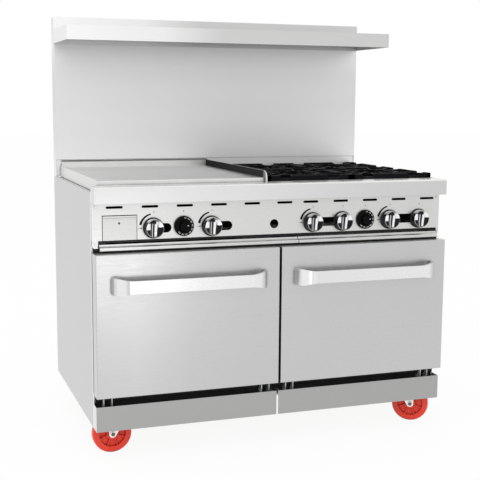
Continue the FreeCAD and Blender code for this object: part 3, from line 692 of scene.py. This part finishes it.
class RANGE_OT_knobs(bpy.types.Operator):
    """Make the plated knobs: a turned skirt and a dished face with a raised grip"""
    bl_idname = "gas_range.knobs"
    bl_label = "Knobs"

    SKIRT = ((0.0325, -0.0015), (0.0330, -0.0022), (0.0330, -0.0038), (0.0322, -0.0046), (0.0306, -0.0052),
             (0.0303, -0.0064), (0.0296, -0.0200), (0.0292, -0.0238), (0.0284, -0.0258), (0.0270, -0.0268))
    FACE_RADIUS = 0.027
    FACE_DEPTH = 0.0268
    DISH = 0.0020
    GRIP_HEIGHT = 0.0098
    GRIP_HALF_WIDTH = 0.0042
    GRIP_HALF_LENGTH = 0.0195
    FLANK = 0.0095
    END_FALL = 0.0080
    THUMB_RISE = 0.0020
    THUMB_SPREAD = 0.0022
    RINGS = 12
    SPOKES = 72

    def face_depth(self, x, z):
        """How far the face stands out at a point: a dish with a ridge down the middle."""
        radius = math.hypot(x, z)
        dish = self.FACE_DEPTH - self.DISH * (1 - (radius / self.FACE_RADIUS) ** 2)
        upper = min(1.0, max(-1.0, z / self.GRIP_HALF_LENGTH))
        flat = self.GRIP_HALF_WIDTH + self.THUMB_SPREAD * upper
        side = min(1.0, max(0.0, (abs(x) - flat) / self.FLANK))
        end = min(1.0, max(0.0, (abs(z) - self.GRIP_HALF_LENGTH) / self.END_FALL))
        ridge = (1 - side) ** 2 * (1 - end ** 2)
        return -(dish + (self.GRIP_HEIGHT + self.THUMB_RISE * upper) * ridge)

    def execute(self, context):
        finish = knob_finish("knob plating with painted reflections", (0.88, 0.88, 0.89), (0.012, 0.012, 0.014))
        for name in KNOBS:
            lo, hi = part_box(name)
            centre = Vector(((lo.x + hi.x) / 2, PANEL_FACE, (lo.z + hi.z) / 2))
            bm = bmesh.new()
            loops = []
            for radius, depth in self.SKIRT:
                loops.append(self.loop(bm, radius, lambda x, z, depth=depth: depth))
            for ring in range(1, self.RINGS):
                radius = self.FACE_RADIUS * (1 - ring / self.RINGS)
                loops.append(self.loop(bm, radius, self.face_depth))
            for outer, inner in zip(loops, loops[1:]):
                for i in range(self.SPOKES):
                    j = (i + 1) % self.SPOKES
                    bm.faces.new((outer[i], outer[j], inner[j], inner[i]))
            tip = bm.verts.new((0, self.face_depth(0, 0), 0))
            for i in range(self.SPOKES):
                bm.faces.new((loops[-1][i], loops[-1][(i + 1) % self.SPOKES], tip))
            bm.faces.new(loops[0])
            piece = finish_piece(bm, name + "_plated", finish, None, smooth=True)
            piece.location = centre
            context.view_layer.update()
            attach(piece, name)
            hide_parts(name)
        return {"FINISHED"}

    def loop(self, bm, radius, depth):
        """A ring of points round the knob, as far out as depth says."""
        made = []
        for i in range(self.SPOKES):
            turn = 2 * math.pi * i / self.SPOKES
            x, z = radius * math.cos(turn), radius * math.sin(turn)
            made.append(bm.verts.new((x, depth(x, z), z)))
        return made


class RANGE_OT_grates(bpy.types.Operator):
    """Make the cast grates: a stepped frame, an eight-sided ring and the fingers that carry pans"""
    bl_idname = "gas_range.grates"
    bl_label = "Grates"

    BAR = 0.0110
    RIB = 0.0085
    STEP = 0.0100
    CHAMFER = 0.0014
    RING = ((0.040, 0.084), (0.084, 0.040))

    def execute(self, context):
        # the last colour is the painted highlight on the tops of the bars
        iron = casting("seasoned grate iron with painted highlight", (0.007, 0.007, 0.008), 0.5, (0.036, 0.036, 0.038))
        for corner in CORNERS:
            name = corner + "_grate"
            lo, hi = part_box(name)
            self.top, self.low = hi.z, lo.z + 0.010
            self.middle = (lo + hi) / 2
            half = Vector(((hi.x - lo.x) / 2, (hi.y - lo.y) / 2))
            bm = bmesh.new()
            self.frame(bm, half)
            self.ring(bm)
            self.fingers(bm, half)
            for sx in (-1, 1):
                for sy in (-1, 1):
                    inset = self.BAR / 2 + 0.0006
                    foot = Vector((sx * (half.x - inset), sy * (half.y - inset)))
                    self.rib(bm, (foot + Vector((self.BAR / 2, 0)), foot - Vector((self.BAR / 2, 0))),
                             (self.top - self.STEP,) * 2, self.BAR, lo.z)
            piece = finish_piece(bm, corner + "_grate_casting", iron, name)
            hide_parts(name)
        return {"FINISHED"}

    def frame(self, bm, half):
        """Four edge bars, raised at the corners and in the middle of each side."""
        high, low = self.top, self.top - self.STEP
        for along in (0, 1):
            across = 1 - along
            reach = half[along]
            steps = ((reach, high), (reach - 0.038, high), (reach - 0.046, low),
                     (0.068, low), (0.060, high))
            for side in (-1, 1):
                points, tops = [], []
                for sign in (-1, 1):
                    for place, height in (steps if sign < 0 else reversed(steps)):
                        point = Vector((0, 0))
                        point[along] = sign * place
                        point[across] = side * (half[across] - self.BAR / 2)
                        points.append(point)
                        tops.append(height)
                self.rib(bm, points, tops, self.BAR)

    def ring(self, bm):
        """Eight bars round the burner."""
        corners = []
        for sx, sy in ((1, 1), (-1, 1), (-1, -1), (1, -1)):
            pair = [Vector((sx * x, sy * y)) for x, y in self.RING]
            corners += reversed(pair) if sx * sy > 0 else pair
        for here, there in zip(corners, corners[1:] + corners[:1]):
            self.rib(bm, (here, there), (self.top - 0.002,) * 2, self.RIB)

    def fingers(self, bm, half):
        """Ribs from the frame to the ring, and pointed ones on toward the burner."""
        drop = (0.0, 0.001, 0.003, 0.002)
        for turn in range(4):
            out = Vector((0, 1) if turn % 2 else (1, 0)) * (1 if turn < 2 else -1)
            side = Vector((-out.y, out.x))
            edge = half[turn % 2] - 0.002
            for sign in (-1, 1):
                start = out * edge + side * sign * 0.060
                end = out * self.RING[0][1] + side * sign * self.RING[0][0]
                stations = [start.lerp(end, t) for t in (0, 0.3, 0.7, 1)]
                self.rib(bm, stations, [self.top - d for d in drop], self.RIB)
            self.tip(bm, out * 0.084, out * 0.044)
            corner = Vector((out.x * half.x + side.x * half.x, out.y * half.y + side.y * half.y)) * 0.975
            inner = (out + side) * 0.062
            stations = [corner.lerp(inner, t) for t in (0, 0.2, 0.6, 1)]
            self.rib(bm, stations, [self.top - d for d in drop], self.RIB)
            self.tip(bm, inner, (out + side) * 0.034)

    def tip(self, bm, start, end):
        """A pointed finger that runs on from the ring toward the burner."""
        stations = [start.lerp(end, t) for t in (0, 0.55, 0.85, 1)]
        tops = [self.top - d for d in (0.002, 0.0, 0.001, 0.008)]
        self.rib(bm, stations, tops, self.RIB)

    def rib(self, bm, points, tops, width, bottom=None):
        """An upright rib through plan points, its top edges chamfered."""
        bottom = self.low if bottom is None else bottom
        ahead = (points[-1] - points[0]).normalized()
        across = Vector((-ahead.y, ahead.x))
        cut = self.CHAMFER
        loops = []
        for point, top in zip(points, tops):
            loop = []
            for shift, height in ((-0.5, bottom), (-0.5, top - cut), (cut / width - 0.5, top),
                                  (0.5 - cut / width, top), (0.5, top - cut), (0.5, bottom)):
                at = point + across * shift * width
                loop.append(bm.verts.new((self.middle.x + at.x, self.middle.y + at.y, height)))
            loops.append(loop)
        for here, there in zip(loops, loops[1:]):
            for i in range(6):
                j = (i + 1) % 6
                bm.faces.new((here[i], here[j], there[j], there[i]))
        bm.faces.new(loops[0])
        bm.faces.new(loops[-1][::-1])


class RANGE_OT_fittings(bpy.types.Operator):
    """Make the small fittings: axle bolts, a painted shadow strip at the riser seam, a painted shadow line
    under the drawer hem, and screw heads
    """
    bl_idname = "gas_range.fittings"
    bl_label = "Fittings"

    NUT_FACE = 0.0259
    STACK = ((0.0, 0.0066, 0.0010, 20), (0.0010, 0.0050, 0.0028, 6), (0.0038, 0.0026, 0.0010, 16))
    SCREW_PLACES = (0.06, 0.35, 0.65, 0.94)

    def execute(self, context):
        bolt = galvanised("bolt zinc", (0.16, 0.16, 0.155))
        for corner in CORNERS:
            self.axle(bolt, corner)
        # painted shadow: a dark strip on the riser face, just above the splash
        seam = moulded("seam shadow", (0.030, 0.030, 0.030), 0.6, 0.0, 0.05)
        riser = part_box("riser_panel")[0]
        plate_lo, plate_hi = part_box("griddle_splash")
        bm = bmesh.new()
        self.strip(bm, plate_lo.x + 0.004, plate_hi.x, plate_hi.z + 0.0004, plate_hi.z + 0.0026,
                   riser.y - 0.0003, 0.0003)
        finish_piece(bm, "riser_seam_shadow", seam, "range")
        lo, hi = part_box("grease_drawer")
        # painted shadow: a grey line across the drawer front, under its top hem
        hem = bmesh.new()
        self.strip(hem, lo.x + 0.0015, hi.x - 0.0015, hi.z - 0.0068, hi.z - 0.0060, lo.y - 0.0002, 0.0002)
        finish_piece(hem, "drawer_hem_shadow", moulded("hem shadow", (0.16, 0.16, 0.155), 0.5, 0.0, 0.1),
                     "grease_drawer")
        self.screws(bolt)
        return {"FINISHED"}

    def axle(self, material, corner):
        """Washer, hexagon and thread end at both ends of the axle, on the fork's legs."""
        joint = JOINTS[corner + "_wheel_spin"]
        along = Vector(joint["axis"]).normalized()
        centre = Vector(joint["pos_m"])
        bm = bmesh.new()
        for side in (-1, 1):
            face = centre + along * side * self.NUT_FACE
            turn = (along * side).to_track_quat("Z", "Y").to_matrix().to_4x4()
            for start, size, depth, sides in self.STACK:
                bmesh.ops.create_cone(bm, cap_ends=True, segments=sides, radius1=size, radius2=size * 0.94,
                                      depth=depth, matrix=Matrix.Translation(face) @ turn
                                      @ Matrix.Translation((0, 0, start + depth / 2)))
        finish_piece(bm, corner + "_axle_bolt", material, corner + "_caster_fork")

    def strip(self, bm, x0, x1, z0, z1, y, thick):
        """A thin raised strip standing out toward the front."""
        cube = bmesh.ops.create_cube(bm, size=1.0)["verts"]
        bmesh.ops.scale(bm, vec=(x1 - x0, thick, z1 - z0), verts=cube)
        bmesh.ops.translate(bm, vec=((x0 + x1) / 2, y, (z0 + z1) / 2), verts=cube)

    def screws(self, material):
        """Pan head screws down both edges of the back."""
        bm = bmesh.new()
        lo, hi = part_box("rear_panel")
        for side in (-1, 1):
            for share in self.SCREW_PLACES:
                place = (side * (hi.x - 0.014), hi.y - 0.0002, lo.z + (hi.z - lo.z) * share)
                disc(bm, place, 0.0042, 0.0012, taper=0.7)
        finish_piece(bm, "back_screws", material, "range")


class RANGE_OT_panel_marks(bpy.types.Operator):
    """Print the plain flame size arcs, pointers and dots on the control panel"""
    bl_idname = "gas_range.panel_marks"
    bl_label = "Panel marks"

    def execute(self, context):
        ink = moulded("black print", (0.006, 0.006, 0.006), 0.5, 0.0, 0.05)
        grey = moulded("grey print", (0.10, 0.10, 0.10), 0.5, 0.0, 0.05)
        bm, fine = bmesh.new(), bmesh.new()
        y = PANEL_FACE - 0.00012
        for name in KNOBS:
            lo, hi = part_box(name)
            x, z = (lo.x + hi.x) / 2, (lo.z + hi.z) / 2
            arc_strip(fine, (x + 0.002, z + 0.0505), 0.0013, 0.0022, 0, 360, y, even=True)
            if name in ("burner_knob_2", "burner_knob_4"):
                continue
            arc_strip(bm, (x, z), 0.0388, 0.0468, -76, -10, y)
            disc(bm, (x - 0.0385, y, z), 0.0021, 0.0002)
            bar(bm, x - 0.0475, x - 0.0385, z - 0.0006, z + 0.0006, y)
        for name in DIALS:
            lo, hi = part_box(name)
            x, z = (lo.x + hi.x) / 2, (lo.z + hi.z) / 2
            bar(bm, x - 0.0011, x + 0.0011, z + 0.0450, z + 0.0495, y)
        finish_piece(bm, "panel_marks", ink, "range")
        lo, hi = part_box("grease_drawer")
        # painted shade: a black disc stands for the small hole in the drawer front
        hole = bmesh.new()
        disc(hole, ((lo.x + hi.x) / 2 - 0.002, lo.y - 0.0001, hi.z - 0.0225), 0.0026, 0.0002, segments=20)
        finish_piece(hole, "drawer_hole", ink, "grease_drawer")
        finish_piece(fine, "panel_rings", grey, "range")
        return {"FINISHED"}


class RANGE_OT_dial_numbers(bpy.types.Operator):
    """Put plain temperature numbers round the oven dials"""
    bl_idname = "gas_range.dial_numbers"
    bl_label = "Dial numbers"

    NUMBERS = range(150, 551, 50)
    FIRST_ANGLE = 4
    ANGLE_STEP = 27
    RING_RADIUS = 0.0262

    def execute(self, context):
        white = moulded("white print", (0.85, 0.85, 0.83), 0.5, 0.0)
        for name in DIALS:
            lo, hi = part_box(name)
            x, z = (lo.x + hi.x) / 2, (lo.z + hi.z) / 2
            for i, number in enumerate(self.NUMBERS):
                turn = math.radians(self.FIRST_ANGLE + self.ANGLE_STEP * i)
                self.write(context, f"{name}_number_{number}", str(number), white, name, 0.0055,
                           x, lo.y + 0.0156, z, turn, self.RING_RADIUS)
            self.write(context, name + "_off_mark", "0", white, name, 0.0075, x, lo.y + 0.0010, z,
                       math.radians(70), 0.0085)
        return {"FINISHED"}

    def write(self, context, label, word, ink, body, size, x, y, z, turn, radius):
        """One printed number, upright along its own radius of the dial."""
        text = bpy.data.curves.new(label, "FONT")
        text.body = word
        text.size = size
        text.align_x = "CENTER"
        text.align_y = "CENTER"
        text.extrude = 0.0001
        text.materials.append(ink)
        piece = bpy.data.objects.new(label, text)
        context.scene.collection.objects.link(piece)
        place = (x + radius * math.sin(turn), y, z + radius * math.cos(turn))
        piece.matrix_world = (Matrix.Translation(place) @ Matrix.Rotation(math.pi / 2, 4, "X")
                              @ Matrix.Rotation(-turn, 4, "Z"))
        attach(piece, body)


class RANGE_OT_stage(bpy.types.Operator):
    """Set the floor, the lamps, the sky and the camera"""
    bl_idname = "gas_range.stage"
    bl_label = "Stage"

    FLOOR_REACH = 30.0
    FLOOR_GLOW = 0.92
    SKY_LEFT = 1.02
    SKY_RIGHT = 0.80

    def execute(self, context):
        settings = context.scene.range_stage
        self.make_floor(context, settings)
        self.make_sky(context)
        self.make_camera(context, settings)
        context.scene.view_settings.view_transform = "Standard"
        self.make_lamp(context, "key", place=(-1.6, -4.3, 2.6), aim=(-0.3, 0.0, 0.8),
                       size=2.2, power=settings.key)
        self.make_lamp(context, "strip", place=(0.04, -3.3, 0.15), aim=(-0.45, -0.4, 0.3),
                       size=0.5, power=settings.glow, height=0.26)
        self.make_lamp(context, "top", place=(-1.6, -0.8, 4.4), aim=(0.0, 0.0, 0.9),
                       size=3.0, power=settings.fill)
        return {"FINISHED"}

    def make_camera(self, context, settings):
        """Camera that is aimed by yaw, pitch and roll."""
        cam = bpy.data.objects.new("camera", bpy.data.cameras.new("camera"))
        context.scene.collection.objects.link(cam)
        cam.data.lens = settings.lens
        cam.data.sensor_width = 36
        yaw, pitch, roll = settings.camera_turn
        ahead = Vector((math.sin(yaw) * math.cos(pitch), math.cos(yaw) * math.cos(pitch), math.sin(pitch)))
        right = Vector((math.cos(yaw), -math.sin(yaw), 0))
        up = right.cross(ahead)
        across = right * math.cos(roll) + up * math.sin(roll)
        above = up * math.cos(roll) - right * math.sin(roll)
        turn = Matrix((across, above, -ahead)).transposed()
        cam.matrix_world = Matrix.Translation(settings.camera_place) @ turn.to_4x4()
        context.scene.camera = cam

    def make_floor(self, context, settings):
        """Pale floor that keeps the shadow of the range."""
        bm = bmesh.new()
        reach = self.FLOOR_REACH
        corners = ((-reach, -reach, 0), (reach, -reach, 0), (reach, reach, 0), (-reach, reach, 0))
        bm.faces.new([bm.verts.new(corner) for corner in corners])
        mesh = bpy.data.meshes.new("floor")
        bm.to_mesh(mesh)
        bm.free()
        floor = bpy.data.objects.new("floor", mesh)
        context.scene.collection.objects.link(floor)
        made = Shader("pale floor", settings.floor, 0.8, specular=0.2)
        light = made.node("ShaderNodeEmission")
        light.inputs["Strength"].default_value = 1.0
        mix = made.node("ShaderNodeMixShader")
        share = made.maths("MULTIPLY", seen_directly(made.tree), self.FLOOR_GLOW)
        made.links.new(share, mix.inputs["Fac"])
        out = made.tree.nodes["Material Output"]
        made.links.new(made.bsdf.outputs["BSDF"], mix.inputs[1])
        made.links.new(light.outputs["Emission"], mix.inputs[2])
        made.links.new(mix.outputs["Shader"], out.inputs["Surface"])
        mesh.materials.append(made.mat)

    def make_sky(self, context):
        """Even room light, a little stronger from the left, behind a white backdrop."""
        sky = bpy.data.worlds.new("studio")
        context.scene.world = sky
        sky.use_nodes = True
        tree = sky.node_tree
        tree.nodes.clear()
        place = tree.nodes.new("ShaderNodeTexCoord")
        split = tree.nodes.new("ShaderNodeSeparateXYZ")
        tree.links.new(place.outputs["Generated"], split.inputs["Vector"])
        across = tree.nodes.new("ShaderNodeMapRange")
        across.inputs["From Min"].default_value = 0.0
        across.inputs["From Max"].default_value = 0.75
        across.inputs["To Min"].default_value = self.SKY_LEFT
        across.inputs["To Max"].default_value = self.SKY_RIGHT
        tree.links.new(split.outputs["X"], across.inputs["Value"])
        room = tree.nodes.new("ShaderNodeBackground")
        tree.links.new(across.outputs["Result"], room.inputs["Strength"])
        white = tree.nodes.new("ShaderNodeBackground")
        white.inputs["Strength"].default_value = 1.0
        for made in (room, white):
            made.inputs["Color"].default_value = (1, 1, 1, 1)
        mix = tree.nodes.new("ShaderNodeMixShader")
        out = tree.nodes.new("ShaderNodeOutputWorld")
        tree.links.new(seen_directly(tree), mix.inputs["Fac"])
        tree.links.new(room.outputs["Background"], mix.inputs[1])
        tree.links.new(white.outputs["Background"], mix.inputs[2])
        tree.links.new(mix.outputs["Shader"], out.inputs["Surface"])

    def make_lamp(self, context, name, place, aim, size, power, height=None):
        """Soft rectangular lamp that is aimed at a point and isn't seen itself."""
        data = bpy.data.lights.new(name, "AREA")
        data.shape = "RECTANGLE" if height else "SQUARE"
        data.size = size
        data.size_y = height or size
        data.energy = power
        lamp = bpy.data.objects.new(name, data)
        context.scene.collection.objects.link(lamp)
        lamp.location = place
        lamp.visible_camera = False
        lamp.rotation_euler = (Vector(aim) - Vector(place)).to_track_quat("-Z", "Y").to_euler()


class RANGE_PT_panel(bpy.types.Panel):
    """Lists the steps that dress the range"""
    bl_label = "Gas Range"
    bl_space_type = "VIEW_3D"
    bl_region_type = "UI"
    bl_category = "Gas Range"

    def draw(self, context):
        for step in STEPS:
            self.layout.operator(step.bl_idname)
        for group in (context.scene.range_steel, context.scene.range_stage):
            for name in group.__annotations__:
                self.layout.prop(group, name)


STEPS = (RANGE_OT_finishes, RANGE_OT_knobs, RANGE_OT_grates, RANGE_OT_fittings,
         RANGE_OT_panel_marks, RANGE_OT_dial_numbers, RANGE_OT_stage)
CLASSES = (SteelSettings, StageSettings) + STEPS + (RANGE_PT_panel,)


def register():
    for cls in CLASSES:
        bpy.utils.register_class(cls)
    bpy.types.Scene.range_steel = PointerProperty(type=SteelSettings)
    bpy.types.Scene.range_stage = PointerProperty(type=StageSettings)


def unregister():
    del bpy.types.Scene.range_stage
    del bpy.types.Scene.range_steel
    for cls in reversed(CLASSES):
        bpy.utils.unregister_class(cls)


def main():
    register()
    bpy.ops.gas_range.finishes()
    bpy.ops.gas_range.knobs()
    bpy.ops.gas_range.grates()
    bpy.ops.gas_range.fittings()
    bpy.ops.gas_range.panel_marks()
    bpy.ops.gas_range.dial_numbers()
    bpy.ops.gas_range.stage()


if __name__ == "__main__":
    main()
